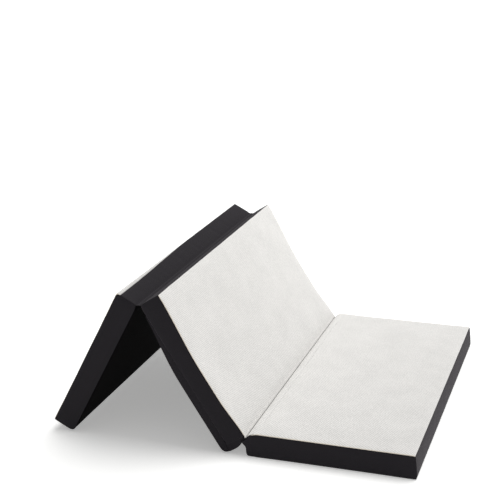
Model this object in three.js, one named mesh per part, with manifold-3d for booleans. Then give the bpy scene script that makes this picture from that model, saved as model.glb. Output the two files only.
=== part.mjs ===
// Three-panel folding memory foam mattress, half folded: the first panel lies flat and
// the other two stand as a tent. Millimetres, +Z up, origin under the middle of the
// whole object's box, on the floor. +X runs along the unfolded mattress, +Y across it.
import * as THREE from 'three';
import { mergeVertices } from 'three/addons/utils/BufferGeometryUtils.js';
import Module from 'manifold-3d';

const wasm = await Module();
wasm.setup();

// Panels
const panelCount = 3;
const panelLength = 672;
const panelWidth = 1524;
const panelThickness = 102;
const panelCornerRadius = 16;
const cornerSegments = 6;

// Cover and filling
const topCoverThickness = 4;
const baseCoverThickness = 2.2;
const bandThickness = 2;
const comfortFoamThickness = 38;
const layerGap = 0.35;

// Folds
const leanAngle = THREE.MathUtils.degToRad(56.8);
const foldOneInset = 22;
const foldOneGap = 8;
const foldTwoGap = 4;
const foldClearance = 0.15;
const stripThickness = 1.5;
const stripWidth = 18;
const stripEndMargin = 24;

// Zips, one on the far side of each panel
const zipEndMargin = 56;
const zipOpeningHeight = 26;
const tapeThickness = 1;
const tapeSetback = 0.5;
const chainWidth = 6;
const chainHeight = 2;
const chainEndMargin = 6;
const stopLength = 4;
const stopOverhang = 1.2;
const cutOverlap = 2;

// Zip sliders and pulls
const sliderLength = 12;
const sliderWall = 1.6;
const sliderRoof = 1.2;
const sliderClearance = 0.35;
const bailWindowLength = 6.8;
const bailWindowHeight = 3;
const bailBar = 1.6;
const bailWidth = 2;
const pullLength = 30;
const pullWidth = 8;
const pullThickness = 1.6;
const pullEyeWidth = 3.4;
const pullEyeLength = 6;
const pullEyeRim = 1.6;
const pullCornerRadius = 0.5;
const pullAxisHeight = 1.4;

const white = 0xe4e3e0;
const black = 0x232124;
const coverKnit = new THREE.MeshStandardMaterial({ color: white, roughness: 0.9, metalness: 0 });
const bandFabric = new THREE.MeshStandardMaterial({ color: black, roughness: 0.85, metalness: 0 });
const baseFabric = new THREE.MeshStandardMaterial({ color: 0x1b1a1c, roughness: 0.95, metalness: 0 });
const comfortFoam = new THREE.MeshStandardMaterial({ color: 0xf1ead6, roughness: 0.95, metalness: 0 });
const supportFoam = new THREE.MeshStandardMaterial({ color: 0xf4f4ef, roughness: 0.95, metalness: 0 });
const zipTapeFabric = new THREE.MeshStandardMaterial({ color: 0x1a191b, roughness: 0.9, metalness: 0 });
const zipNylon = new THREE.MeshStandardMaterial({ color: 0x161618, roughness: 0.5, metalness: 0 });
const zipMetal = new THREE.MeshStandardMaterial({ color: 0x2c2c30, roughness: 0.35, metalness: 0.9 });

function toSolid(geometry) {
  const bare = geometry.clone();
  bare.deleteAttribute('normal');
  bare.deleteAttribute('uv');
  const merged = mergeVertices(bare);
  const vertProperties = new Float32Array(merged.attributes.position.array);
  const triVerts = new Uint32Array(merged.index.array);
  return new wasm.Manifold(new wasm.Mesh({ numProp: 3, vertProperties, triVerts }));
}

function toGeometry(solid) {
  const mesh = solid.getMesh();
  const geometry = new THREE.BufferGeometry();
  geometry.setAttribute('position', new THREE.BufferAttribute(new Float32Array(mesh.vertProperties), 3));
  geometry.setIndex(new THREE.BufferAttribute(new Uint32Array(mesh.triVerts), 1));
  geometry.computeVertexNormals();
  return geometry;
}

function named(name, geometry, material) {
  const mesh = new THREE.Mesh(geometry, material);
  mesh.name = name;
  return mesh;
}

// A box given by its low and high corners.
function boxBetween(low, high) {
  const geometry = new THREE.BoxGeometry(high[0] - low[0], high[1] - low[1], high[2] - low[2]);
  return geometry.translate((low[0] + high[0]) / 2, (low[1] + high[1]) / 2, (low[2] + high[2]) / 2);
}

// A rectangle with round corners, as a Shape or, for a hole, as a Path.
function roundedRectangle(Outline, xLow, xHigh, yLow, yHigh, radius) {
  const outline = new Outline();
  outline.moveTo(xLow + radius, yLow);
  outline.lineTo(xHigh - radius, yLow);
  outline.absarc(xHigh - radius, yLow + radius, radius, -Math.PI / 2, 0, false);
  outline.lineTo(xHigh, yHigh - radius);
  outline.absarc(xHigh - radius, yHigh - radius, radius, 0, Math.PI / 2, false);
  outline.lineTo(xLow + radius, yHigh);
  outline.absarc(xLow + radius, yHigh - radius, radius, Math.PI / 2, Math.PI, false);
  outline.lineTo(xLow, yLow + radius);
  outline.absarc(xLow + radius, yLow + radius, radius, Math.PI, 1.5 * Math.PI, false);
  return outline;
}

// The panel's own outline, drawn inside its edge by the given inset.
function panelOutline(Outline, inset, radius) {
  const half = panelWidth / 2 - inset;
  return roundedRectangle(Outline, inset, panelLength - inset, -half, half, radius);
}

function slab(outline, bottom, top) {
  const options = { depth: top - bottom, bevelEnabled: false, curveSegments: cornerSegments };
  return new THREE.ExtrudeGeometry(outline, options).translate(0, 0, bottom);
}

const bandBottom = baseCoverThickness + layerGap;
const bandTop = panelThickness - topCoverThickness - layerGap;
const foamInset = bandThickness + layerGap;
const foamCornerRadius = panelCornerRadius - foamInset;
const comfortBottom = bandTop - comfortFoamThickness;
const sideFace = panelWidth / 2;
const zipMiddle = panelLength / 2;
const zipLength = panelLength - 2 * zipEndMargin;
const zipCentreHeight = (bandBottom + bandTop) / 2;

function topCover() {
  const outline = panelOutline(THREE.Shape, 0, panelCornerRadius);
  return slab(outline, panelThickness - topCoverThickness, panelThickness);
}

function baseCover() {
  return slab(panelOutline(THREE.Shape, 0, panelCornerRadius), 0, baseCoverThickness);
}

// The side band is a closed ring with a window for the zip in its far wall.
function sideBand() {
  const outline = panelOutline(THREE.Shape, 0, panelCornerRadius);
  outline.holes.push(panelOutline(THREE.Path, bandThickness, panelCornerRadius - bandThickness));
  const ring = toSolid(slab(outline, bandBottom, bandTop));
  const inner = sideFace - bandThickness - cutOverlap;
  const window = toSolid(boxBetween(
    [zipMiddle - zipLength / 2, inner, zipCentreHeight - zipOpeningHeight / 2],
    [zipMiddle + zipLength / 2, sideFace + cutOverlap, zipCentreHeight + zipOpeningHeight / 2],
  ));
  return toGeometry(ring.subtract(window));
}

function comfortLayer() {
  return slab(panelOutline(THREE.Shape, foamInset, foamCornerRadius), comfortBottom, bandTop);
}

function supportLayer() {
  const outline = panelOutline(THREE.Shape, foamInset, foamCornerRadius);
  return slab(outline, bandBottom, comfortBottom - layerGap);
}

// The zip tape fills the window in the band, a little below its outer face.
function zipTape() {
  const halfLength = zipLength / 2 - layerGap;
  const halfHeight = zipOpeningHeight / 2 - layerGap;
  const outer = sideFace - tapeSetback;
  return boxBetween(
    [zipMiddle - halfLength, outer - tapeThickness, zipCentreHeight - halfHeight],
    [zipMiddle + halfLength, outer, zipCentreHeight + halfHeight],
  );
}

const chainBase = sideFace - tapeSetback + layerGap;
const chainTop = chainBase + chainHeight;
const chainHalfLength = zipLength / 2 - chainEndMargin - stopLength;

function zipChain() {
  return boxBetween(
    [zipMiddle - chainHalfLength, chainBase, zipCentreHeight - chainWidth / 2],
    [zipMiddle + chainHalfLength, chainTop, zipCentreHeight + chainWidth / 2],
  );
}

// A stop closes each end of the chain: end is +1 or -1.
function zipStop(end) {
  const inner = zipMiddle + end * (chainHalfLength + layerGap);
  const outer = inner + end * (stopLength - layerGap);
  const halfHeight = chainWidth / 2 + stopOverhang;
  return boxBetween(
    [Math.min(inner, outer), chainBase, zipCentreHeight - halfHeight],
    [Math.max(inner, outer), chainTop, zipCentreHeight + halfHeight],
  );
}

const sliderHalfWidth = chainWidth / 2 + sliderClearance + sliderWall;
const sliderRoofBase = chainTop + sliderClearance;
const sliderTop = sliderRoofBase + sliderRoof;
const pullAxis = sliderTop + pullAxisHeight;
const bailTop = sliderTop + bailWindowHeight + bailBar;

// The slider is centred on x = 0 and moved to its place with its pull: a channel that
// straddles the chain, and a bail on its roof that holds the pull's eye.
function zipSlider() {
  const inside = chainWidth / 2 + sliderClearance;
  const channel = new THREE.Shape();
  channel.moveTo(-sliderHalfWidth, chainBase);
  channel.lineTo(-inside, chainBase);
  channel.lineTo(-inside, sliderRoofBase);
  channel.lineTo(inside, sliderRoofBase);
  channel.lineTo(inside, chainBase);
  channel.lineTo(sliderHalfWidth, chainBase);
  channel.lineTo(sliderHalfWidth, sliderTop);
  channel.lineTo(-sliderHalfWidth, sliderTop);
  channel.closePath();
  const body = new THREE.ExtrudeGeometry(channel, { depth: sliderLength, bevelEnabled: false });
  body.translate(0, 0, -sliderLength / 2).rotateY(Math.PI / 2);

  const halfWindow = bailWindowLength / 2;
  const arch = new THREE.Shape();
  arch.moveTo(-halfWindow - bailBar, sliderTop - sliderRoof / 2);
  arch.lineTo(-halfWindow, sliderTop - sliderRoof / 2);
  arch.lineTo(-halfWindow, sliderTop + bailWindowHeight);
  arch.lineTo(halfWindow, sliderTop + bailWindowHeight);
  arch.lineTo(halfWindow, sliderTop - sliderRoof / 2);
  arch.lineTo(halfWindow + bailBar, sliderTop - sliderRoof / 2);
  arch.lineTo(halfWindow + bailBar, sliderTop + bailWindowHeight);
  arch.lineTo(halfWindow, bailTop);
  arch.lineTo(-halfWindow, bailTop);
  arch.lineTo(-halfWindow - bailBar, sliderTop + bailWindowHeight);
  arch.closePath();
  const bail = new THREE.ExtrudeGeometry(arch, { depth: bailWidth, bevelEnabled: false });
  bail.translate(0, 0, -bailWidth / 2);
  return toGeometry(toSolid(body).add(toSolid(bail))).translate(0, 0, zipCentreHeight);
}

// The pull is a flat tab with an eye at one end; toward is +1 or -1 along X.
function zipPull(toward) {
  const tip = pullLength - pullEyeRim / 2;
  const tab = roundedRectangle(
    THREE.Shape, -pullEyeRim / 2, tip, -pullWidth / 2, pullWidth / 2, pullCornerRadius,
  );
  const eyeStart = pullEyeRim / 2;
  tab.holes.push(roundedRectangle(
    THREE.Path, eyeStart, eyeStart + pullEyeLength, -pullEyeWidth / 2, pullEyeWidth / 2, pullCornerRadius,
  ));
  const options = { depth: pullThickness, bevelEnabled: false, curveSegments: cornerSegments };
  const plate = new THREE.ExtrudeGeometry(tab, options);
  plate.translate(0, 0, -pullThickness / 2).rotateX(Math.PI / 2);
  if (toward < 0) plate.rotateZ(Math.PI);
  return plate.translate(0, pullAxis, zipCentreHeight);
}

// One panel in its own frame: X from 0 to its length, Z from its base up to its top.
// The slider is parked against the stop at the given end of the zip.
function buildPanel(number, parkedEnd) {
  const name = `panel_${number}`;
  const panel = new THREE.Group();
  panel.add(
    named(`${name}_top_cover`, topCover(), coverKnit),
    named(`${name}_side_band`, sideBand(), bandFabric),
    named(`${name}_base_cover`, baseCover(), baseFabric),
    named(`${name}_comfort_foam`, comfortLayer(), comfortFoam),
    named(`${name}_support_foam`, supportLayer(), supportFoam),
    named(`${name}_zip_tape`, zipTape(), zipTapeFabric),
    named(`${name}_zip_chain`, zipChain(), zipNylon),
    named(`${name}_zip_stop_upper`, zipStop(-parkedEnd), zipMetal),
    named(`${name}_zip_stop_lower`, zipStop(parkedEnd), zipMetal),
  );
  const runner = new THREE.Group();
  runner.position.x = zipMiddle + parkedEnd * (chainHalfLength - sliderLength / 2);
  runner.add(
    named(`${name}_zip_slider`, zipSlider(), zipMetal),
    named(`${name}_zip_pull`, zipPull(parkedEnd), zipMetal),
  );
  panel.add(runner);
  return panel;
}

// A strip of cloth sewn flat on a panel's face, between two places along its length.
function foldStrip(name, material, xLow, xHigh, zLow) {
  const half = panelWidth / 2 - stripEndMargin;
  return named(name, boxBetween([xLow, -half, zLow], [xHigh, half, zLow + stripThickness]), material);
}

const panels = [];
for (let index = 0; index < panelCount; index += 1) {
  const parkedEnd = index === panelCount - 1 ? -1 : 1;
  panels.push(buildPanel(index + 1, parkedEnd));
}
const [flatPanel, leaningPanel, footPanel] = panels;

// Fold 1 turns about a line just above the white tops. The strip on panel 1 is sewn into
// the top's end seam and reaches out to that line, which lies a little inside the end of
// panel 2.
const foldStandOff = layerGap + stripThickness + foldClearance;
const foldOneOnFlat = new THREE.Vector3(-foldOneInset, 0, panelThickness + foldStandOff);
const foldOneOnLeaning = new THREE.Vector3(
  panelLength - (foldOneInset - foldOneGap), 0, panelThickness + foldStandOff,
);
const topStripBase = panelThickness + layerGap;
const leaningStripEnd = foldOneOnLeaning.x - foldStandOff;
flatPanel.add(foldStrip('fold_1_strip_on_panel_1', coverKnit, -foldOneInset, -layerGap, topStripBase));
leaningPanel.add(foldStrip(
  'fold_1_strip_on_panel_2', coverKnit, leaningStripEnd - stripWidth, leaningStripEnd, topStripBase,
));

// Fold 2 turns about a line just outside the black bases, midway between the panels' ends.
const foldTwoOnLeaning = new THREE.Vector3(-foldTwoGap / 2, 0, -foldStandOff);
const foldTwoOnFoot = new THREE.Vector3(panelLength + foldTwoGap / 2, 0, -foldStandOff);
const baseStripBase = -layerGap - stripThickness;
leaningPanel.add(foldStrip('fold_2_strip_on_panel_2', baseFabric, 0, stripWidth, baseStripBase));
footPanel.add(foldStrip(
  'fold_2_strip_on_panel_3', baseFabric, panelLength - stripWidth, panelLength, baseStripBase,
));

// Puts a panel at an angle about Y so that its own fold point meets a point of the whole.
function hang(panel, angle, ownPoint, meets) {
  panel.rotation.y = angle;
  const turned = ownPoint.clone().applyAxisAngle(new THREE.Vector3(0, 1, 0), angle);
  panel.position.copy(meets).sub(turned);
  panel.updateMatrixWorld(true);
}

hang(leaningPanel, leanAngle, foldOneOnLeaning, foldOneOnFlat);
const foldTwo = leaningPanel.localToWorld(foldTwoOnLeaning.clone());

// The last panel stands on the lower corner of its free end: its angle comes from the
// height of fold 2 and the reach from the fold to that corner.
const footReach = Math.hypot(foldTwoOnFoot.x, foldTwoOnFoot.z);
const footAngle = Math.asin(foldTwo.z / footReach) + Math.atan2(-foldTwoOnFoot.z, foldTwoOnFoot.x);
hang(footPanel, -footAngle, foldTwoOnFoot, foldTwo);

// The foot's upper corner is the furthest left point and panel 1's end the furthest right.
// Across the mattress the sliders' bails stand proud of the far side.
const leftEnd = footPanel.localToWorld(new THREE.Vector3(0, 0, panelThickness)).x;
const mattress = new THREE.Group();
mattress.add(flatPanel, leaningPanel, footPanel);
mattress.position.x = -(leftEnd + panelLength) / 2;
mattress.position.y = -(bailTop - sideFace) / 2;

export default mattress;
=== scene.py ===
import math

import bpy
import numpy as np
from mathutils import Matrix, Vector, noise


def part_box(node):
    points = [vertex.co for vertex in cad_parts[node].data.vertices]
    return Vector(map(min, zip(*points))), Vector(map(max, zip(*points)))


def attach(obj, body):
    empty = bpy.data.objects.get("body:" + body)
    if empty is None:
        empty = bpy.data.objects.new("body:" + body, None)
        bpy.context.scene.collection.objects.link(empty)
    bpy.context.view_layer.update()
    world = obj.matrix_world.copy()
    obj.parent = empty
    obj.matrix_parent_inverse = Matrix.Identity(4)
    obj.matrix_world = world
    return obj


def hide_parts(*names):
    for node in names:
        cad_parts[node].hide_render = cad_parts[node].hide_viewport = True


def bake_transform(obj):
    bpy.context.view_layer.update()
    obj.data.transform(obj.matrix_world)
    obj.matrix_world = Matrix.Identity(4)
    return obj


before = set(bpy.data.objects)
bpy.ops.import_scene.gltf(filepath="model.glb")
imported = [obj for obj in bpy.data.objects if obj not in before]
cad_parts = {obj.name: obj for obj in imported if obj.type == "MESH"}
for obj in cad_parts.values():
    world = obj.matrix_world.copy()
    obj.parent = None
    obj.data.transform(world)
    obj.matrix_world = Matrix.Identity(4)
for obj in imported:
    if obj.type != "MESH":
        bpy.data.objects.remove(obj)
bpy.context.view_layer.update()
across = Vector((0, 1, 0))
millimetre = 0.001
print("frame loaded")


def linear(hexColour):
    channels = [int(hexColour[i:i + 2], 16) / 255 for i in (1, 3, 5)]
    curved = [c / 12.92 if c <= 0.04045 else ((c + 0.055) / 1.055) ** 2.4 for c in channels]
    return (*curved, 1.0)


def addNode(material, kind, settings=None, inputs=None, stops=()):
    # inputs maps a socket to a value, or to the output socket that feeds it; stops are for a ramp
    node = material.node_tree.nodes.new(kind)
    for name, value in (settings or {}).items():
        setattr(node, name, value)
    for name, value in (inputs or {}).items():
        if isinstance(value, bpy.types.NodeSocket):
            material.node_tree.links.new(value, node.inputs[name])
        else:
            node.inputs[name].default_value = value
    for index, (place, hexColour) in enumerate(stops):
        elements = node.color_ramp.elements
        element = elements[index] if index < 2 else elements.new(place)
        element.position, element.color = place, linear(hexColour)
    return node


def newMaterial(name):
    material = bpy.data.materials.new(name)
    material.use_nodes = True
    material.node_tree.nodes.clear()
    return material


def finishMaterial(material, shader):
    addNode(material, "ShaderNodeOutputMaterial", {}, {"Surface": shader.outputs[0]})
    return material


# The cloths' maps are in metres along the cloth, so every scale in their materials is a real one
# the knit's edge colour is painted shade with a cream tint, for where it rolls over the near and
# far edges
knitLook = {
    "colour": "#edebe8", "shade": "#cdccc9", "edge": "#dfd6c7",
    "rowSpacing": 10 * millimetre,  # the real courses are about 1.5 mm apart and would not show
    "rowAngle": math.radians(-47),
    "rowDepth": 0.7 * millimetre,
    "rolledEdgeShadeWidth": 9 * millimetre,  # painted shade, with a cream tint, on the knit pulled over the near and far edges
    "roughness": 0.92, "sheen": 0.2, "sheenRoughness": 0.5,
}
# a wave texture repeats every tau / 20 of its own units
onePerUnit = math.tau / 20


def makeKnit(halfWidth):
    # Polyester jersey knit, raised: matt and soft, with fine slanting rows of small dots
    look = knitLook
    material = newMaterial("WhiteJerseyKnit")
    flat = addNode(material, "ShaderNodeUVMap", {"uv_map": "cloth"}).outputs["UV"]
    turned = addNode(material, "ShaderNodeMapping", {}, {
        "Vector": flat, "Rotation": (0, 0, look["rowAngle"]),
        "Scale": (1 / look["rowSpacing"],) * 3}).outputs["Vector"]
    rows = addNode(material, "ShaderNodeTexWave", {"wave_type": "BANDS", "bands_direction": "X"}, {
        "Vector": turned, "Scale": onePerUnit,
        "Distortion": 1.6, "Detail": 2.0, "Detail Scale": 1.2})
    dots = addNode(material, "ShaderNodeTexVoronoi", {"feature": "F1"}, {
        "Vector": turned, "Scale": 1.4, "Randomness": 0.45})
    fuzz = addNode(material, "ShaderNodeTexNoise", {}, {
        "Vector": flat, "Scale": 700.0, "Detail": 3.0, "Roughness": 0.6})
    cloud = addNode(material, "ShaderNodeTexNoise", {}, {
        "Vector": flat, "Scale": 7.0, "Detail": 2.0})
    knots = addNode(material, "ShaderNodeMath", {"operation": "MULTIPLY_ADD"}, {
        0: rows.outputs["Fac"], 1: 0.7, 2: dots.outputs["Distance"]})
    height = addNode(material, "ShaderNodeMath", {"operation": "MULTIPLY_ADD"}, {
        0: fuzz.outputs["Fac"], 1: 0.5, 2: knots.outputs[0]})
    mottle = addNode(material, "ShaderNodeMath", {"operation": "MULTIPLY_ADD"}, {
        0: cloud.outputs["Fac"], 1: 0.3, 2: -0.2})
    tone = addNode(material, "ShaderNodeMath", {"operation": "MULTIPLY_ADD", "use_clamp": True}, {
        0: height.outputs[0], 1: 0.55, 2: mottle.outputs[0]})
    colour = addNode(material, "ShaderNodeValToRGB", {}, {"Fac": tone.outputs[0]},
                     [(0.25, look["shade"]), (0.75, look["colour"])]).outputs["Color"]
    parts = addNode(material, "ShaderNodeSeparateXYZ", {}, {"Vector": flat})
    aside = addNode(material, "ShaderNodeMath", {"operation": "ABSOLUTE"}, {0: parts.outputs["Y"]})
    # painted shade with a cream tint where the knit rolls over the near and far edges
    inRolledEdgeShade = addNode(material, "ShaderNodeMapRange", {"interpolation_type": "SMOOTHSTEP"}, {
        "Value": aside.outputs[0],
        "From Min": halfWidth - look["rolledEdgeShadeWidth"], "From Max": halfWidth})
    withRolledEdgeShade = addNode(material, "ShaderNodeMix", {"data_type": "RGBA"}, {
        "Factor": inRolledEdgeShade.outputs["Result"], 6: colour, 7: linear(look["edge"])})
    bump = addNode(material, "ShaderNodeBump", {}, {
        "Height": height.outputs[0], "Strength": 0.7, "Distance": look["rowDepth"]})
    shader = addNode(material, "ShaderNodeBsdfPrincipled", {}, {
        "Base Color": withRolledEdgeShade.outputs[2], "Roughness": look["roughness"], "IOR": 1.5,
        "Specular IOR Level": 0.2, "Sheen Weight": look["sheen"],
        "Sheen Roughness": look["sheenRoughness"], "Normal": bump.outputs["Normal"]})
    return finishMaterial(material, shader)


bandLook = {
    "thread": "#2a282c", "gap": "#171518",
    "threadSpacing": 3.2 * millimetre,  # about 0.6 mm in the real cloth, drawn coarser to show
    "threadDepth": 0.3 * millimetre,
    "roughness": 0.95, "specular": 0.04,
    "sheen": 0.22, "sheenRoughness": 0.6, "sheenTint": "#b9b4b8",
}
# the base cloth faces the floor or the inside of the tent; it is duller, and its black is painted
# deeper to stand in for the shade there
shadeDarkenedBaseLook = dict(bandLook, thread="#0b0a0b", gap="#050405", specular=0.02, sheen=0.0,
                threadSpacing=4.5 * millimetre)


def makeWoven(name, look):
    # Polyester plain weave, dyed black: near black head on, greyer where the fuzz catches the light
    material = newMaterial(name)
    flat = addNode(material, "ShaderNodeUVMap", {"uv_map": "cloth"}).outputs["UV"]
    waves = []
    for direction in ("X", "Y"):
        waves.append(addNode(material, "ShaderNodeTexWave", {
            "wave_type": "BANDS", "bands_direction": direction}, {
            "Vector": flat, "Scale": onePerUnit / look["threadSpacing"],
            "Distortion": 0.6, "Detail": 1.0, "Detail Scale": 40.0}).outputs["Fac"])
    crossed = addNode(material, "ShaderNodeMath", {"operation": "MULTIPLY"}, {
        0: waves[0], 1: waves[1]})
    slub = addNode(material, "ShaderNodeTexNoise", {}, {
        "Vector": flat, "Scale": 320.0, "Detail": 3.0, "Roughness": 0.65})
    height = addNode(material, "ShaderNodeMath", {"operation": "MULTIPLY_ADD"}, {
        0: slub.outputs["Fac"], 1: 0.6, 2: crossed.outputs[0]})
    colour = addNode(material, "ShaderNodeValToRGB", {}, {"Fac": height.outputs[0]},
                     [(0.2, look["gap"]), (0.85, look["thread"])]).outputs["Color"]
    bump = addNode(material, "ShaderNodeBump", {}, {
        "Height": height.outputs[0], "Strength": 0.6, "Distance": look["threadDepth"]})
    shader = addNode(material, "ShaderNodeBsdfPrincipled", {}, {
        "Base Color": colour, "Roughness": look["roughness"], "IOR": 1.5,
        "Specular IOR Level": look["specular"], "Sheen Weight": look["sheen"],
        "Sheen Roughness": look["sheenRoughness"], "Sheen Tint": linear(look["sheenTint"]),
        "Normal": bump.outputs["Normal"]})
    return finishMaterial(material, shader)


def makeFoam(name, light, poreShade, cell):
    # Polyurethane foam, cast and cut: matt open cells, with painted shade in the hollows
    material = newMaterial(name)
    place = addNode(material, "ShaderNodeTexCoord").outputs["Object"]
    cells = addNode(material, "ShaderNodeTexVoronoi", {"feature": "F1"}, {
        "Vector": place, "Scale": 1 / cell, "Randomness": 1.0})
    grain = addNode(material, "ShaderNodeTexNoise", {}, {
        "Vector": place, "Scale": 0.4 / cell, "Detail": 4.0})
    mixed = addNode(material, "ShaderNodeMath", {"operation": "MULTIPLY_ADD"}, {
        0: grain.outputs["Fac"], 1: 0.5, 2: cells.outputs["Distance"]})
    colour = addNode(material, "ShaderNodeValToRGB", {}, {"Fac": mixed.outputs[0]},
                     [(0.25, poreShade), (0.8, light)]).outputs["Color"]
    bump = addNode(material, "ShaderNodeBump", {}, {
        "Height": mixed.outputs[0], "Strength": 0.6, "Distance": cell / 2})
    shader = addNode(material, "ShaderNodeBsdfPrincipled", {}, {
        "Base Color": colour, "Roughness": 0.95, "IOR": 1.5, "Specular IOR Level": 0.2,
        "Normal": bump.outputs["Normal"]})
    return finishMaterial(material, shader)


tapeLook = {
    "thread": "#232125", "gap": "#0d0c0e",
    "turnEvery": 3 * millimetre, "rib": 0.6 * millimetre,
}


def makeTape():
    # Polyester zip tape, herringbone woven: narrow slanting ribs that turn at the middle
    material = newMaterial("ZipTapeHerringbone")
    flat = addNode(material, "ShaderNodeUVMap", {"uv_map": "cloth"}).outputs["UV"]
    parts = addNode(material, "ShaderNodeSeparateXYZ", {}, {"Vector": flat})
    folded = addNode(material, "ShaderNodeMath", {"operation": "PINGPONG"}, {
        0: parts.outputs["Y"], 1: tapeLook["turnEvery"]})
    slant = addNode(material, "ShaderNodeMath", {"operation": "ADD"}, {
        0: parts.outputs["X"], 1: folded.outputs[0]})
    ribs = addNode(material, "ShaderNodeMath", {"operation": "PINGPONG"}, {
        0: slant.outputs[0], 1: tapeLook["rib"]})
    share = addNode(material, "ShaderNodeMath", {"operation": "DIVIDE"}, {
        0: ribs.outputs[0], 1: tapeLook["rib"]})
    colour = addNode(material, "ShaderNodeValToRGB", {}, {"Fac": share.outputs[0]},
                     [(0.1, tapeLook["gap"]), (0.9, tapeLook["thread"])]).outputs["Color"]
    bump = addNode(material, "ShaderNodeBump", {}, {
        "Height": ribs.outputs[0], "Strength": 0.8, "Distance": 1.0})
    shader = addNode(material, "ShaderNodeBsdfPrincipled", {}, {
        "Base Color": colour, "Roughness": 0.88, "IOR": 1.5, "Specular IOR Level": 0.2,
        "Normal": bump.outputs["Normal"]})
    return finishMaterial(material, shader)


def makeNylon():
    # Nylon monofilament, extruded and coiled: dark plastic with a soft gleam on each loop
    material = newMaterial("ZipCoilNylon")
    place = addNode(material, "ShaderNodeTexCoord").outputs["Object"]
    scuff = addNode(material, "ShaderNodeTexNoise", {}, {
        "Vector": place, "Scale": 900.0, "Detail": 2.0})
    rough = addNode(material, "ShaderNodeMapRange", {}, {
        "Value": scuff.outputs["Fac"], "To Min": 0.35, "To Max": 0.55})
    colour = addNode(material, "ShaderNodeValToRGB", {}, {"Fac": scuff.outputs["Fac"]},
                     [(0.3, "#121214"), (0.7, "#1c1c1f")]).outputs["Color"]
    shader = addNode(material, "ShaderNodeBsdfPrincipled", {}, {
        "Base Color": colour, "Roughness": rough.outputs["Result"], "IOR": 1.53})
    return finishMaterial(material, shader)


def makeZipMetal():
    # Zinc alloy, die cast and black plated: dark metal, worn a little paler in fine scuffs
    material = newMaterial("ZipBlackPlatedZinc")
    place = addNode(material, "ShaderNodeTexCoord").outputs["Object"]
    scuff = addNode(material, "ShaderNodeTexNoise", {}, {
        "Vector": place, "Scale": 700.0, "Detail": 4.0, "Roughness": 0.7})
    colour = addNode(material, "ShaderNodeValToRGB", {}, {"Fac": scuff.outputs["Fac"]},
                     [(0.35, "#2b2b2f"), (0.75, "#56565c")]).outputs["Color"]
    rough = addNode(material, "ShaderNodeMapRange", {}, {
        "Value": scuff.outputs["Fac"], "To Min": 0.28, "To Max": 0.48})
    bump = addNode(material, "ShaderNodeBump", {}, {
        "Height": scuff.outputs["Fac"], "Strength": 0.15, "Distance": 0.1 * millimetre})
    shader = addNode(material, "ShaderNodeBsdfPrincipled", {}, {
        "Base Color": colour, "Metallic": 1.0, "Roughness": rough.outputs["Result"],
        "Normal": bump.outputs["Normal"]})
    return finishMaterial(material, shader)


def nodePoints(name):
    return np.array([v.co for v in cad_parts[name].data.vertices], float)


def localPoints(number, node):
    # a CAD piece's points in the panel's own frame
    turn = panels[number]["matrix"].to_3x3()
    local = nodePoints(node) @ np.array(turn)
    return local - np.array(turn.transposed() @ panels[number]["matrix"].translation)


def panelFrame(number):
    # From the CAD covers: X runs along the panel, Z from its base up to the white
    topName, baseName = f"panel_{number}_top_cover", f"panel_{number}_base_cover"
    top, base = nodePoints(topName), nodePoints(baseName)
    middles = [Vector(np.add(*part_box(name)) / 2) for name in (topName, baseName)]
    up = (middles[0] - middles[1]).normalized()
    along = across.cross(up)
    both = np.vstack([top, base])
    spans = [(float((both @ np.array(d)).min()), float((both @ np.array(d)).max()))
             for d in (along, across, up)]
    origin = along * spans[0][0] + across * (spans[1][0] + spans[1][1]) / 2 + up * spans[2][0]
    matrix = Matrix((along, across, up)).transposed().to_4x4()
    matrix.translation = origin
    sizes = [high - low for low, high in spans]
    return {"matrix": matrix, "length": sizes[0], "width": sizes[1], "thickness": sizes[2]}


panels = {number: panelFrame(number) for number in (1, 2, 3)}
length, width, thickness = (panels[1][k] for k in ("length", "width", "thickness"))
halfWidth = width / 2

knit = makeKnit(halfWidth)
band = makeWoven("BlackPlainWeave", bandLook)
# the base cloth's deeper black is painted shade, for the floor side and the tent's inside
shadeDarkenedBaseCloth = makeWoven("BlackBaseWeaveShadeDarkened", shadeDarkenedBaseLook)
# each foam's second colour is painted shade in its cell hollows
comfortFoam = makeFoam("MemoryFoamCream", "#f3ecd9", "#d9cfb6", 2.2 * millimetre)
supportFoam = makeFoam("SupportFoamWhite", "#f2f2ee", "#d9d9d2", 3.0 * millimetre)
tape = makeTape()
nylon = makeNylon()
zipMetal = makeZipMetal()
print("materials made")


def smooth(value):
    value = np.clip(value, 0, 1)
    return value * value * (3 - 2 * value)


cushionShape = {
    "cell": 18 * millimetre,        # mesh spacing
    "edgeRow": 4 * millimetre,      # rows that hold the corners crisp
    "seamDrop": 3 * millimetre,     # white top's seam below the top edge
    "baseSeamRise": 3 * millimetre,
    "shrink": 1.4 * millimetre,     # how much smaller the cover starts before it swells
    "swell": 2.4 * millimetre,      # the most that it may swell
    "seamPinch": 0.9 * millimetre,
    "endRadius": {"plain": 5 * millimetre, "crease": 22 * millimetre, "foot": 22 * millimetre,
                  "heel": 16 * millimetre, "outer": 10 * millimetre},
    "puckerSpacing": 60 * millimetre, "puckerDepth": 0.7 * millimetre,
    "puckerUp": 12 * millimetre, "puckerIn": 30 * millimetre,  # how soon it dies out
    "puckerAway": 0.35,             # how much of it is left away from the seam
    "crownWidth": 26 * millimetre,
    "bandRows": 7,
    "zipMargin": 4 * millimetre,    # the band starts to tuck in this far from the tape
    "zipTuck": 0.8 * millimetre,    # how far behind the tape it lies
}

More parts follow.
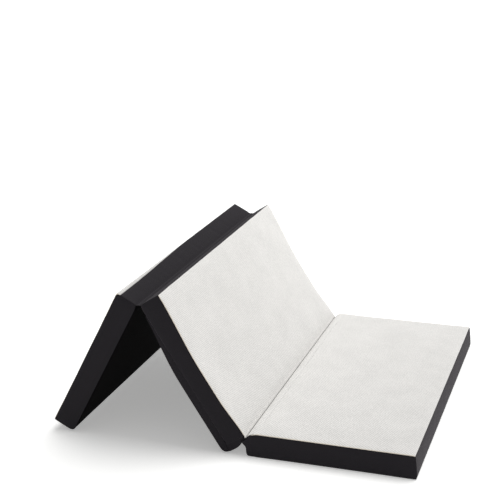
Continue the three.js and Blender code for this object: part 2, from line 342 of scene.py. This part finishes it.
# how each panel gives under its own weight: bow is how far its white side sinks in, the bulges
# are how far its ends belly out, splay is how far the foot of its high end spreads, and lip is
# how far its white top is pulled over its high end at the near corner; all in millimetres
panelGive = {
    1: {"bow": 0.0, "lowBulge": 2.2, "highBulge": 2.0, "splay": 11.0, "lip": 0.0,
        "radii": {"lowTop": "crease", "highTop": "plain", "lowBase": "heel", "highBase": "outer"}},
    2: {"bow": 19.0, "lowBulge": 0.0, "highBulge": 2.6, "splay": 0.0, "lip": 0.0,
        "radii": {"lowTop": "plain", "highTop": "plain", "lowBase": "heel", "highBase": "heel"}},
    3: {"bow": 0.0, "lowBulge": 1.0, "highBulge": 0.0, "splay": 0.0, "lip": 15.0,
        "radii": {"lowTop": "plain", "highTop": "plain", "lowBase": "foot", "highBase": "heel"}},
}


# where along a panel, from 0 at its low end to 1, each of these happens
settling = {
    "bowFull": 0.52, "bowEases": 0.72, "bowGivenBack": 0.65,
    "splayFrom": 0.9, "splayCurve": 0.8,
    "bulgeLength": 90 * millimetre, "bulgeLow": 0.15, "bulgeRun": 0.75, "bulgeCurve": 0.7,
}


def lines(low, high, edge, step):
    inner = np.linspace(low + edge, high - edge, max(2, round((high - low - 2 * edge) / step) + 1))
    return np.array(sorted({round(float(v), 6) for v in [low, high, *inner]}))


def boxSkin(xs, ys, zs):
    # The skin of a box cut by three sets of planes: points, quads and, for each quad, its side
    index, points, quads, sides = {}, [], [], []

    def corner(i, j, k):
        key = (i, j, k)
        if key not in index:
            index[key] = len(points)
            points.append((xs[i], ys[j], zs[k]))
        return index[key]

    def add(side, *corners):
        quads.append([corner(*c) for c in corners])
        sides.append(side)

    nx, ny, nz = len(xs) - 1, len(ys) - 1, len(zs) - 1
    for i in range(nx):
        for j in range(ny):
            add("top", (i, j, nz), (i + 1, j, nz), (i + 1, j + 1, nz), (i, j + 1, nz))
            add("base", (i, j, 0), (i, j + 1, 0), (i + 1, j + 1, 0), (i + 1, j, 0))
    for k in range(nz):
        for i in range(nx):
            add("near", (i, 0, k), (i + 1, 0, k), (i + 1, 0, k + 1), (i, 0, k + 1))
            add("far", (i, ny, k), (i, ny, k + 1), (i + 1, ny, k + 1), (i + 1, ny, k))
        for j in range(ny):
            add("low", (0, j, k), (0, j, k + 1), (0, j + 1, k + 1), (0, j + 1, k))
            add("high", (nx, j, k), (nx, j + 1, k), (nx, j + 1, k + 1), (nx, j, k + 1))
    return np.array(points), quads, sides


def roundEnds(points, radii, inset=0.0):
    # Rounds the four long edges of a panel: each square corner is drawn in to a quarter circle
    p = points.copy()
    low, high, bottom, top = inset, length - inset, inset, thickness - inset
    for (endAt, endSign, faceAt, faceSign), radius in radii.items():
        end = low if endAt == "low" else high
        face = bottom if faceAt == "base" else top
        radius = max(radius - inset, 2 * millimetre)
        a = radius - (p[:, 0] - end) * endSign
        b = radius - (p[:, 2] - face) * faceSign
        here = (a > 0) & (b > 0)
        reach = np.hypot(a, b)
        share = np.where(reach > 1e-9, np.maximum(a, b) / np.maximum(reach, 1e-9), 1)
        p[:, 0] = np.where(here, end + endSign * (radius - a * share), p[:, 0])
        p[:, 2] = np.where(here, face + faceSign * (radius - b * share), p[:, 2])
    return p


def endRadii(number):
    kinds, radius = panelGive[number]["radii"], cushionShape["endRadius"]
    return {("low", 1, "base", 1): radius[kinds["lowBase"]],
            ("high", -1, "base", 1): radius[kinds["highBase"]],
            ("low", 1, "top", -1): radius[kinds["lowTop"]],
            ("high", -1, "top", -1): radius[kinds["highTop"]]}


def settle(points, number):
    # Where a point of the panel comes to rest once the foam gives: bow, splay and end bulges
    p, give, when = points.copy(), panelGive[number], settling
    run, rise = p[:, 0] / length, np.clip(p[:, 2] / thickness, 0, 1)
    eased = smooth((run - when["bowEases"]) / (1 - when["bowEases"]))
    white = smooth(run / when["bowFull"]) * (1 - when["bowGivenBack"] * eased)
    p[:, 2] -= give["bow"] * white * rise * millimetre
    splay = smooth((run - when["splayFrom"]) / (1 - when["splayFrom"]))
    p[:, 0] += give["splay"] * millimetre * splay * (1 - rise) ** when["splayCurve"]
    for end, bulge in ((0.0, -give["lowBulge"]), (length, give["highBulge"])):
        near = np.clip(1 - np.abs(p[:, 0] - end) / when["bulgeLength"], 0, 1) ** 2
        height = np.clip(when["bulgeLow"] + when["bulgeRun"] * rise, 0, 1)
        belly = np.sin(math.pi * height) ** when["bulgeCurve"]
        p[:, 0] += bulge * millimetre * near * belly
    return p


def softCap(move, most):
    # small moves are kept, and none is longer than most
    size = np.linalg.norm(move, axis=1, keepdims=True)
    return move * np.where(size > 1e-12, most * np.tanh(size / most) / np.maximum(size, 1e-12), 1)


swelling = {
    "frames": 16, "quality": 5, "mass": 0.3, "pressure": 3.0,
    "stretch": 25, "shear": 12, "bending": 4, "shrink": -0.001,
}


def swellCover(name, points, quads, held):
    # Cloth with a little pressure inside, gravity off: held seams stay, the rest swells
    mesh = bpy.data.meshes.new(name)
    mesh.from_pydata(points.tolist(), [], quads)
    cover = bpy.data.objects.new(name, mesh)
    bpy.context.scene.collection.objects.link(cover)
    seam = cover.vertex_groups.new(name="seam")
    seam.add([int(i) for i in np.flatnonzero(held)], 1.0, "REPLACE")
    cloth = cover.modifiers.new("Cloth", "CLOTH")
    settings = cloth.settings
    settings.quality = swelling["quality"]
    settings.mass = swelling["mass"]
    settings.tension_stiffness = settings.compression_stiffness = swelling["stretch"]
    settings.shear_stiffness = swelling["shear"]
    settings.bending_stiffness = swelling["bending"]
    settings.shrink_min = swelling["shrink"]
    settings.use_pressure = True
    settings.uniform_pressure_force = swelling["pressure"]
    settings.vertex_group_mass = "seam"
    settings.effector_weights.gravity = 0
    cloth.collision_settings.use_collision = False
    cloth.point_cache.frame_start, cloth.point_cache.frame_end = 1, 20
    scene = bpy.context.scene
    for step in range(1, swelling["frames"] + 1):
        scene.frame_set(step)
    shown = cover.evaluated_get(bpy.context.evaluated_depsgraph_get())
    moved = np.array([v.co for v in shown.data.vertices], float)
    scene.frame_set(1)
    bpy.data.objects.remove(cover)
    bpy.data.meshes.remove(mesh)
    return points + softCap(moved - points, cushionShape["swell"])


def wrinkle(points, seed, spacing, depth):
    offset = Vector((seed, 3.1 * seed, 7.7))  # so that no two pieces wrinkle alike
    return np.array([noise.noise(Vector(w) + offset) for w in points / spacing]) * depth


def vertexNormals(points, quads):
    q = np.array(quads)
    normal = np.cross(points[q[:, 2]] - points[q[:, 0]], points[q[:, 3]] - points[q[:, 1]])
    total = np.zeros_like(points)
    for k in range(4):
        np.add.at(total, q[:, k], normal)
    return total / np.maximum(np.linalg.norm(total, axis=1, keepdims=True), 1e-12)


def zipBox(number):
    # the zip tape's box in the panel's own frame
    local = localPoints(number, f"panel_{number}_zip_tape")
    return local.min(0), local.max(0)


def cushion(number):
    shape = cushionShape
    seamTop, seamBase = thickness - shape["seamDrop"], shape["baseSeamRise"]
    zipLow, zipHigh = zipBox(number)
    xs = lines(0, length, shape["edgeRow"], shape["cell"])
    ys = lines(-halfWidth, halfWidth, shape["edgeRow"], shape["cell"])
    side = np.linspace(seamBase + shape["edgeRow"], seamTop - shape["edgeRow"], shape["bandRows"])
    margin = shape["zipMargin"]
    zipRows = (zipLow[2] - margin, zipLow[2], zipHigh[2], zipHigh[2] + margin)
    side = [z for z in side if all(abs(z - row) > shape["edgeRow"] for row in zipRows)]
    zs = np.array(sorted([0, seamBase, *side, *zipRows, seamTop, thickness]))
    start, quads, sides = boxSkin(xs, ys, zs)
    flat = start.copy()
    held = np.isin(np.round(start[:, 2], 6), np.round([seamTop, seamBase], 6))
    outward = np.sign(start - np.array([length / 2, 0, thickness / 2]))
    onFace = np.stack([
        np.isclose(start[:, 0], 0) | np.isclose(start[:, 0], length),
        np.isclose(np.abs(start[:, 1]), halfWidth),
        np.isclose(start[:, 2], 0) | np.isclose(start[:, 2], thickness)], axis=1)
    # it starts smaller on every face but the base
    start = start - outward * onFace * np.array([1, 1, 0]) * shape["shrink"]
    start[:, 2] -= onFace[:, 2] * outward[:, 2] * shape["shrink"] * (outward[:, 2] > 0)
    rounded = roundEnds(start, endRadii(number))
    body = swellCover(f"panel{number}Cover", rounded, quads, held)
    normal = vertexNormals(body, quads)
    # the base lies flat on whatever it rests on
    body[:, 2] = np.maximum(body[:, 2], 0)
    # seams pull in, and the cloth beside them puckers a little
    body -= normal * held[:, None] * shape["seamPinch"]
    fromEnd = np.minimum(flat[:, 0], length - flat[:, 0])
    fromSide = np.minimum(halfWidth - np.abs(flat[:, 1]), fromEnd)
    beside = np.exp(-np.abs(flat[:, 2] - seamTop) / shape["puckerUp"]) * np.exp(
        -np.clip(fromSide, 0, None) / shape["puckerIn"])
    pucker = wrinkle(flat, number, shape["puckerSpacing"], shape["puckerDepth"])
    body += normal * (pucker * (shape["puckerAway"] + beside))[:, None]
    # the band tucks in behind the zip
    inZip = smooth((flat[:, 0] - zipLow[0] + 2 * margin) / margin) * smooth(
        (zipHigh[0] + 2 * margin - flat[:, 0]) / margin)
    inZip *= smooth((flat[:, 2] - zipLow[2] + margin) / margin) * smooth(
        (zipHigh[2] + margin - flat[:, 2]) / margin)
    onFar = np.isclose(flat[:, 1], halfWidth)
    behind = zipLow[1] - shape["zipTuck"]
    body[:, 1] = np.where(onFar, body[:, 1] * (1 - inZip) + behind * inZip, body[:, 1])
    # the white top is pulled a little way over the high end, most at the near corner
    lip = panelGive[number]["lip"] * millimetre * smooth(-flat[:, 1] / halfWidth + 0.1)
    fall = smooth((thickness - flat[:, 2]) / (thickness - seamTop)) * smooth(
        (flat[:, 2] - thickness / 2) / (seamTop - thickness / 2))
    body[:, 2] -= lip * fall * np.isclose(flat[:, 0], length)
    # the sag leaves the cloth around the zip where it is
    still = (inZip * onFar)[:, None]
    body = settle(body, number) * (1 - still) + body * still
    return flat, body, quads, sides, seamTop, seamBase


def placed(points, number):
    matrix = panels[number]["matrix"]
    return points @ np.array(matrix.to_3x3()).T + np.array(matrix.translation)


def addObject(name, points, faces, material, uvs=None):
    mesh = bpy.data.meshes.new(name)
    mesh.from_pydata([tuple(map(float, p)) for p in points], [], faces)
    if uvs is not None:
        layer = mesh.uv_layers.new(name="cloth")
        layer.data.foreach_set("uv", np.array(uvs, float).ravel())
    mesh.materials.append(material)
    mesh.shade_smooth()
    piece = bpy.data.objects.new(name, mesh)
    bpy.context.scene.collection.objects.link(piece)
    return piece


def applyModifier(piece, kind, **settings):
    modifier = piece.modifiers.new(kind.title(), kind)
    for key, value in settings.items():
        setattr(modifier, key, value)
    bpy.context.view_layer.objects.active = piece
    with bpy.context.temp_override(object=piece, active_object=piece, selected_objects=[piece]):
        bpy.ops.object.modifier_apply(modifier=modifier.name)
    piece.data.shade_smooth()


def clothUv(flatPoint, side):
    x, y, z = flatPoint
    drop = thickness - z
    if side == "near":
        return (x, -halfWidth - drop)
    if side == "far":
        return (x, halfWidth + drop)
    if side == "low":
        return (-drop, y)
    if side == "high":
        return (length + drop, y)
    return (x, y)


def bandUv(flatPoint, side):
    x, y, z = flatPoint
    return (x, z) if side in ("near", "far") else (y + 2 * length, z)


def cutPiece(name, flat, body, quads, sides, keep, material, uvOf, cover, number):
    # one sewn piece: the part of the cushion's skin that keep picks, given the cloth's thickness
    kept = [(q, s) for q, s in zip(quads, sides) if keep(flat[q], s)]
    used = sorted({i for q, _ in kept for i in q})
    renumber = {old: new for new, old in enumerate(used)}
    faces = [[renumber[i] for i in q] for q, _ in kept]
    uvs = np.array([uvOf(flat[i], s) for q, s in kept for i in q])
    if number == 2:
        uvs[:, 1] *= -1  # this panel's cloth was cut the other way up
    piece = addObject(name, placed(body[used], number), faces, material, uvs)
    applyModifier(piece, "SUBSURF", levels=1)
    applyModifier(piece, "SOLIDIFY", thickness=cover, offset=-1)
    return piece


coverThickness = {"top": 2.4 * millimetre, "band": 1.6 * millimetre, "base": 1.6 * millimetre}


def sewnCover(number):
    flat, body, quads, sides, seamTop, seamBase = cushion(number)
    hair = 1e-5

    def inTop(points, side):
        return side == "top" or (side != "base" and points[:, 2].min() > seamTop - hair)

    def inBase(points, side):
        return side == "base" or (side != "top" and points[:, 2].max() < seamBase + hair)

    def inBand(points, side):
        return not inTop(points, side) and not inBase(points, side)

    panel = f"panel_{number}"
    rim = 2 * (thickness - seamTop)
    for piece, keep, material, uvOf, layer, node, slot, flatSize in (
            ("white_top", inTop, knit, clothUv, "top", "top_cover", "cover_knit",
             (length + rim, width + rim)),
            ("black_band", inBand, band, bandUv, "band", "side_band", "band_fabric",
             (seamTop - seamBase, 2 * (length + width))),
            ("black_base", inBase, shadeDarkenedBaseCloth, clothUv, "base", "base_cover", "base_fabric",
             (length, width))):
        sewn = cutPiece(f"{panel}_{piece}", flat, body, quads, sides, keep, material, uvOf,
                        coverThickness[layer], number)
        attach(sewn, panel)
        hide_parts(f"{panel}_{node}")
    print("cover sewn for", panel)


foamShape = {
    "inset": 6 * millimetre,  # how far inside the cover it stays
    "edgeRow": 5 * millimetre, "cells": 3,
    "unevenSpacing": 90 * millimetre, "unevenDepth": 0.6 * millimetre,
}


def foamBlock(number, node, name, material):
    # A cut block with eased edges that follows the cover's shape, a little way inside it
    local = localPoints(number, node)
    inset = foamShape["inset"]
    low = np.maximum(local.min(0), [inset, -halfWidth + inset, inset])
    high = np.minimum(local.max(0), [length - inset, halfWidth - inset, thickness - inset])
    step = foamShape["cells"] * cushionShape["cell"]
    grids = [lines(low[k], high[k], foamShape["edgeRow"], step) for k in range(3)]
    flat, quads, _ = boxSkin(*grids)
    body = roundEnds(flat, endRadii(number), inset)
    uneven = wrinkle(flat, 11 + number, foamShape["unevenSpacing"], foamShape["unevenDepth"])
    body += vertexNormals(body, quads) * uneven[:, None]
    block = addObject(name, placed(settle(body, number), number), quads, material)
    applyModifier(block, "SUBSURF", levels=1)
    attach(block, f"panel_{number}")
    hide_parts(node)


for number in panels:
    foamBlock(number, f"panel_{number}_comfort_foam", f"panel_{number}_comfort_foam_block",
              comfortFoam)
    foamBlock(number, f"panel_{number}_support_foam", f"panel_{number}_support_foam_block",
              supportFoam)
    sewnCover(number)


# the zips, one on the far side of each panel
zipLook = {
    "toothPitch": 2.6 * millimetre, "toothWidth": 1.9 * millimetre,
    "toothLap": 1.18,               # how far a loop reaches past the middle, of its own reach
    "toothTaper": 0.25, "toothFlat": 0.72,
    "loopRings": 7, "loopCorners": 6,
    "tapeColumns": 60, "tapeFold": 0.6 * millimetre, "tapeHeld": 3.4 * millimetre,
    "tapeWaverSpacing": 40 * millimetre, "tapeWaver": 0.12 * millimetre,
    "easedEdge": {"zip_stop_upper": 0.3 * millimetre, "zip_stop_lower": 0.3 * millimetre,
                  "zip_slider": 0.35 * millimetre, "zip_pull": 0.35 * millimetre},
}


def bevelled(node, amount, material):
    # the CAD piece keeps its shape; its edges are eased
    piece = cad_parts[node]
    modifier = piece.modifiers.new("Bevel", "BEVEL")
    modifier.width, modifier.segments = amount, 2
    modifier.limit_method, modifier.angle_limit = "ANGLE", math.radians(30)
    modifier.harden_normals = False
    piece.data.materials.clear()
    piece.data.materials.append(material)


def zipTapePiece(number):
    low, high = zipBox(number)
    middle, fold, held = (low[2] + high[2]) / 2, zipLook["tapeFold"], zipLook["tapeHeld"]
    xs = np.linspace(low[0], high[0], zipLook["tapeColumns"])
    zs = np.array([low[2], low[2] + fold, middle - held, middle,
                   middle + held, high[2] - fold, high[2]])
    flat, quads, sides = boxSkin(xs, np.array([low[1], high[1]]), zs)
    body = flat.copy()
    body[:, 1] += wrinkle(flat, 20 + number, zipLook["tapeWaverSpacing"], zipLook["tapeWaver"])
    uvs = [(flat[i][0], flat[i][2] + (flat[i][1] - low[1] if s in ("top", "base") else 0))
           for q, s in zip(quads, sides) for i in q]
    piece = addObject(f"panel_{number}_zip_tape_strip", placed(body, number), quads, tape, uvs)
    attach(piece, f"panel_{number}")
    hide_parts(f"panel_{number}_zip_tape")


def zipCoilPiece(number):
    # two rows of nylon loops, offset by half a pitch so that they mesh
    node = f"panel_{number}_zip_chain"
    local = localPoints(number, node)
    low, high = local.min(0), local.max(0)
    pitch, depth = zipLook["toothPitch"], high[1] - low[1]
    middle, reach = (low[2] + high[2]) / 2, (high[2] - low[2]) / 2
    rings, corners = zipLook["loopRings"], zipLook["loopCorners"]
    points, faces = [], []
    for row in (-1, 1):
        for tooth in range(int((high[0] - low[0]) / pitch) - 1):
            x = low[0] + pitch * (tooth + 0.5 + 0.25 * (1 + row))
            first = len(points)
            for ring in range(rings):
                s = ring / (rings - 1)
                z = middle + row * reach * (1 - zipLook["toothLap"] * s) * 0.98
                taper = 1 - zipLook["toothTaper"] * abs(2 * s - 1) ** 3
                thick = zipLook["toothWidth"] / 2 * taper
                for a in range(corners):
                    turn = math.tau * a / corners
                    y = low[1] + depth * 0.5 + depth * 0.46 * math.sin(turn) * (1 - 0.3 * s)
                    points.append((x + thick * zipLook["toothFlat"] * math.cos(turn), y, z))
            loop = []
            for ring in range(rings - 1):
                at = first + ring * corners
                for a in range(corners):
                    b = (a + 1) % corners
                    loop.append([at + a, at + b, at + corners + b, at + corners + a])
            last = first + (rings - 1) * corners
            loop.append([first + a for a in reversed(range(corners))])
            loop.append([last + a for a in range(corners)])
            faces += loop if row > 0 else [face[::-1] for face in loop]
    piece = addObject(f"panel_{number}_zip_coil", placed(np.array(points), number), faces, nylon)
    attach(piece, f"panel_{number}")
    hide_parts(node)


for number in panels:
    zipTapePiece(number)
    zipCoilPiece(number)
    for part, amount in zipLook["easedEdge"].items():
        bevelled(f"panel_{number}_{part}", amount, zipMetal)
print("zips made")


# the cloth across the two folds
foldCloth = {
    "clothThickness": 1.5 * millimetre,
    "endMargin": 1.6 * millimetre,  # how far the fold's cloth stops short of each side
    "endRow": 4 * millimetre, "endPinch": 0.98,
    "columns": 90,
    "waver": 0.5 * millimetre, "waverPerMetre": 14,
}


def runAcross(name, section, material):
    # A closed section, points in X and Z of the whole, carried across the mattress; it is
    # drawn together a little at each end
    look = foldCloth
    half = halfWidth - look["endMargin"]
    middle = panels[1]["matrix"].translation.y
    inner = np.linspace(-half + look["endRow"], half - look["endRow"], look["columns"] - 1)
    ys = np.array([-half, *inner, half])
    section = np.array(section)
    heart = section.mean(0)
    steps = np.linalg.norm(np.roll(section, -1, 0) - section, axis=1)
    run = np.concatenate([[0], np.cumsum(steps)])
    count = len(section)
    points, faces, uvs = [], [], []
    for y in ys:
        waver = noise.noise(Vector((y * look["waverPerMetre"], 0.3, 2.0))) * look["waver"]
        pinch = look["endPinch"] if abs(y) == half else 1.0
        for x, z in heart + (section - heart) * pinch:
            points.append((x, middle + y, z + waver))
    turns = section - heart
    counterClockwise = np.cross(turns, np.roll(turns, -1, 0)).sum() > 0
    for column in range(len(ys) - 1):
        for k in range(count):
            m, a = (k + 1) % count, column * count
            quad = [a + k, a + m, a + count + m, a + count + k]
            uv = [(run[k], ys[column]), (run[k + 1], ys[column]),
                  (run[k + 1], ys[column + 1]), (run[k], ys[column + 1])]
            faces.append(quad[::-1] if counterClockwise else quad)
            uvs += uv[::-1] if counterClockwise else uv
    near, far = list(range(count)), [len(points) - count + k for k in range(count)]
    for cap, turned in ((near, not counterClockwise), (far, counterClockwise)):
        cap = cap[::-1] if turned else cap
        faces.append(cap)
        uvs += [(points[i][0], points[i][2]) for i in cap]
    piece = addObject(name, points, faces, material, uvs)
    for cap in list(piece.data.polygons)[-2:]:
        cap.use_smooth = False
    return piece, run


def thickLine(path, thick):
    # the closed outline of a thin cloth whose upper face follows the path
    path = np.array(path)
    before, after = np.vstack([path[:1], path[:-1]]), np.vstack([path[1:], path[-1:]])
    along = (after - before) / np.linalg.norm(after - before, axis=1, keepdims=True)
    under = path - np.stack([-along[:, 1], along[:, 0]], axis=1) * thick
    return np.vstack([path, under[::-1]])


def rounded(points, closed, times=2):
    # corner cutting: each pass replaces a corner by two points on its sides
    points = np.array(points, float)
    for _ in range(times):
        following = np.roll(points, -1, 0) if closed else points[1:]
        first = points if closed else points[:-1]
        cut = np.stack([0.75 * first + 0.25 * following, 0.25 * first + 0.75 * following], axis=1)
        cut = cut.reshape(-1, 2)
        points = cut if closed else np.vstack([points[:1], cut, points[-1:]])
    return points


def panelSection(number, along, up):
    # a point of the settled panel, in X and Z of the whole; along is in millimetres from its high
    # end, and up in millimetres from its base
    local = np.array([[length + along * millimetre, 0.0, up * millimetre]])
    point = placed(settle(local, number), number)[0]
    return float(point[0]), float(point[2])


def firstSection(along, up):
    # a point near panel 1's low end, in millimetres from its lower corner
    corner = panels[1]["matrix"].translation
    return corner.x + along * millimetre, corner.z + up * millimetre


def onMiddle(point):
    return point[0], 0, point[1]


def foldSheet(name, path, material, nodes):
    section = thickLine(path, foldCloth["clothThickness"])
    piece, run = runAcross(name, section, material)
    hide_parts(*nodes)
    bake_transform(piece)


# fold 1: the white cloth runs on down from panel 2, turns in the crease and rounds up on to panel 1
creaseCloth = {
    "fromPanel2": [(-4, 100.6), (5, 99.4), (10, 96), (11, 90)],
    "turn": (12.6, 80),
    "toPanel1": [(-18.5, 76), (-16.5, 83), (-11, 89.5), (-3, 95), (7, 98.6), (15, 100.2),
                 (22, 99.6)],
}
crease = panelSection(2, *creaseCloth["turn"])
downPanel2 = rounded([panelSection(2, *p) for p in creaseCloth["fromPanel2"]] + [crease], False)
upPanel1 = rounded([crease] + [firstSection(*p) for p in creaseCloth["toPanel1"]], False)
foldSheet("fold_1_white_cloth", np.vstack([downPanel2, upPanel1[1:]]), knit,
          ["fold_1_strip_on_panel_1", "fold_1_strip_on_panel_2"])

# fold 1: the black cloth below the crease, squeezed out on both sides of it
squeezed = {
    "onPanel1": [(20, 96), (6, 94), (-5, 89), (-14, 82), (-25, 77), (-38, 68), (-34, 54), (-22, 44),
                 (-18, 36), (-17, 26), (-16, 12), (-10, 1.5), (2, 0.8), (24, 0.8), (24, 50)],
    "onPanel2": [(-6, 92), (4, 88), (13, 78), (21, 66), (27, 50), (29, 34), (29, 18), (28.8, 6),
                 (28.4, -0.9), (28.4, -0.9), (-16, -0.9), (-14, 20), (-10, 60)],
    "bendsOnPanel1": [(-40, 60), (-26, 60)],  # where the lining's bend would start and end; nothing is bent with them
    "bendsOnPanel2": [(30, 50), (60, 50)],    # both are past the toe
    "fill": 0.7,
}
liningOutline = rounded([firstSection(*p) for p in squeezed["onPanel1"]], True)
lining, _ = runAcross("fold_1_black_lining", liningOutline, band)
start, end = [onMiddle(firstSection(*p)) for p in squeezed["bendsOnPanel1"]]
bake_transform(lining)
toeOutline = rounded([panelSection(2, *p) for p in squeezed["onPanel2"]], True)
toe, _ = runAcross("fold_1_black_toe", toeOutline, band)
# both points of this bend are past the toe, but nothing is bent with them. It cuts into panel 1
# when the two lie flat in line, and a clash list doesn't show that
start, end = [onMiddle(panelSection(2, *p)) for p in squeezed["bendsOnPanel2"]]
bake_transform(toe)

# the base of panel 2 sags between its ends and spreads at its foot
sag = {
    "depth": 30, "topLength": 630, "footLength": 16, "stations": 14, "fullAt": 0.52, "top": 4,
    "foot": [(8, -29.5), (18, -26), (24.5, -18), (27.6, -8), (28.2, -1.1), (28.2, -1.1), (-2, -1.1),
             (-8, 4)],
    "bends": (-20, -60),  # both are past the panel's top end
    "fill": 0.7,
}
outline = [(-sag["topLength"], sag["top"])]
for along in np.linspace(-sag["topLength"], -sag["footLength"], sag["stations"]):
    fall = smooth((1 + along * millimetre / length) / sag["fullAt"])
    outline.append((float(along), -sag["depth"] * float(fall)))
outline += sag["foot"]
belly, _ = runAcross("panel_2_black_belly", rounded([panelSection(2, *p) for p in outline], True),
                     shadeDarkenedBaseCloth)
belly.data.materials.append(band)
for cap in list(belly.data.polygons)[-2:]:
    cap.material_index = 1  # its two ends show as part of the side bands
# here too nothing is bent with the two points; the sag cuts into panel 3 when the two fold shut
start, end = [onMiddle(panelSection(2, -length / millimetre + past, 0)) for past in sag["bends"]]
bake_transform(belly)

# fold 2: a black gutter between the two upper ends, by how far past each end and how high
tuckedIn = [(-1.6, 9), (-3.4, 5), (0.5, 0.5)]
gutter = [panelSection(3, *p) for p in tuckedIn]
gutter += [panelSection(2, -length / millimetre - along, up) for along, up in reversed(tuckedIn)]
foldSheet("fold_2_black_cloth", rounded(gutter, False, 1), band,
          ["fold_2_strip_on_panel_2", "fold_2_strip_on_panel_3"])
print("folds made")


def addSoftSun(name, comesFrom, spread, strength):
    # comesFrom points back at the light; spread is its size in degrees, and softens its shadows
    data = bpy.data.lights.new(name, "SUN")
    data.angle, data.energy = math.radians(spread), strength
    lamp = bpy.data.objects.new(name, data)
    lamp.rotation_euler = Vector(comesFrom).to_track_quat("Z", "Y").to_euler()
    bpy.context.scene.collection.objects.link(lamp)


studio = {
    "floorColour": "#fbfbfa", "floorGlow": 0.36, "floorSize": 400.0,  # a lit white sweep
    "ambient": 0.27, "seen": 1.0,  # the white around: as light, and as seen behind
    "key": {"comesFrom": (0.27, 0.42, 0.9), "spread": 60, "strength": 2.38},
    "back": {"place": (0.6, 2.3, 1.3), "aim": (0.2, 0.6, 0.1), "size": 1.4, "power": 11.0},
}

floorMaterial = newMaterial("PaleFloor")
floorGrain = addNode(floorMaterial, "ShaderNodeTexNoise", {}, {"Scale": 2.0, "Detail": 2.0})
floorTone = addNode(floorMaterial, "ShaderNodeValToRGB", {}, {"Fac": floorGrain.outputs["Fac"]},
                    [(0.3, "#fafaf9"), (0.7, studio["floorColour"])])
floorShader = addNode(floorMaterial, "ShaderNodeBsdfPrincipled", {}, {
    "Base Color": floorTone.outputs["Color"], "Roughness": 0.9, "Specular IOR Level": 0.1,
    "Emission Color": linear(studio["floorColour"]), "Emission Strength": studio["floorGlow"]})
finishMaterial(floorMaterial, floorShader)
reach = studio["floorSize"] / 2
corners = [(-reach, -reach, 0), (reach, -reach, 0), (reach, reach, 0), (-reach, reach, 0)]
floor = addObject("floor", corners, [[0, 1, 2, 3]], floorMaterial)
floor.location.z = -0.5 * millimetre  # just clear of the base

world = bpy.data.worlds.new("Studio")
bpy.context.scene.world = world
world.use_nodes = True
world.node_tree.nodes.clear()
seen, ambient = [addNode(world, "ShaderNodeBackground", {}, {
    "Color": (1, 1, 1, 1), "Strength": studio[use]}) for use in ("seen", "ambient")]
which = addNode(world, "ShaderNodeLightPath")
mixed = addNode(world, "ShaderNodeMixShader", {}, {
    0: which.outputs["Is Camera Ray"], 1: ambient.outputs[0], 2: seen.outputs[0]})
addNode(world, "ShaderNodeOutputWorld", {}, {"Surface": mixed.outputs[0]})
addSoftSun("key", **studio["key"])
backLight = studio["back"]
backData = bpy.data.lights.new("back", "AREA")
backData.size, backData.energy = backLight["size"], backLight["power"]
back = bpy.data.objects.new("back", backData)
back.location = backLight["place"]
backwards = Vector(backLight["place"]) - Vector(backLight["aim"])
back.rotation_euler = backwards.to_track_quat("Z", "Y").to_euler()
bpy.context.scene.collection.objects.link(back)
bpy.context.scene.view_settings.view_transform = "Standard"

cameraSet = {"place": (1.465, -5.0749, 2.2186), "pitch": -16.57, "turn": 17.56, "lens": 88.23}
cameraData = bpy.data.cameras.new("camera")
cameraData.sensor_width, cameraData.lens = 36.0, cameraSet["lens"]
camera = bpy.data.objects.new("camera", cameraData)
camera.location = cameraSet["place"]
camera.rotation_euler = (math.radians(90 + cameraSet["pitch"]), 0, math.radians(cameraSet["turn"]))
bpy.context.scene.collection.objects.link(camera)
bpy.context.scene.camera = camera
print("studio set")
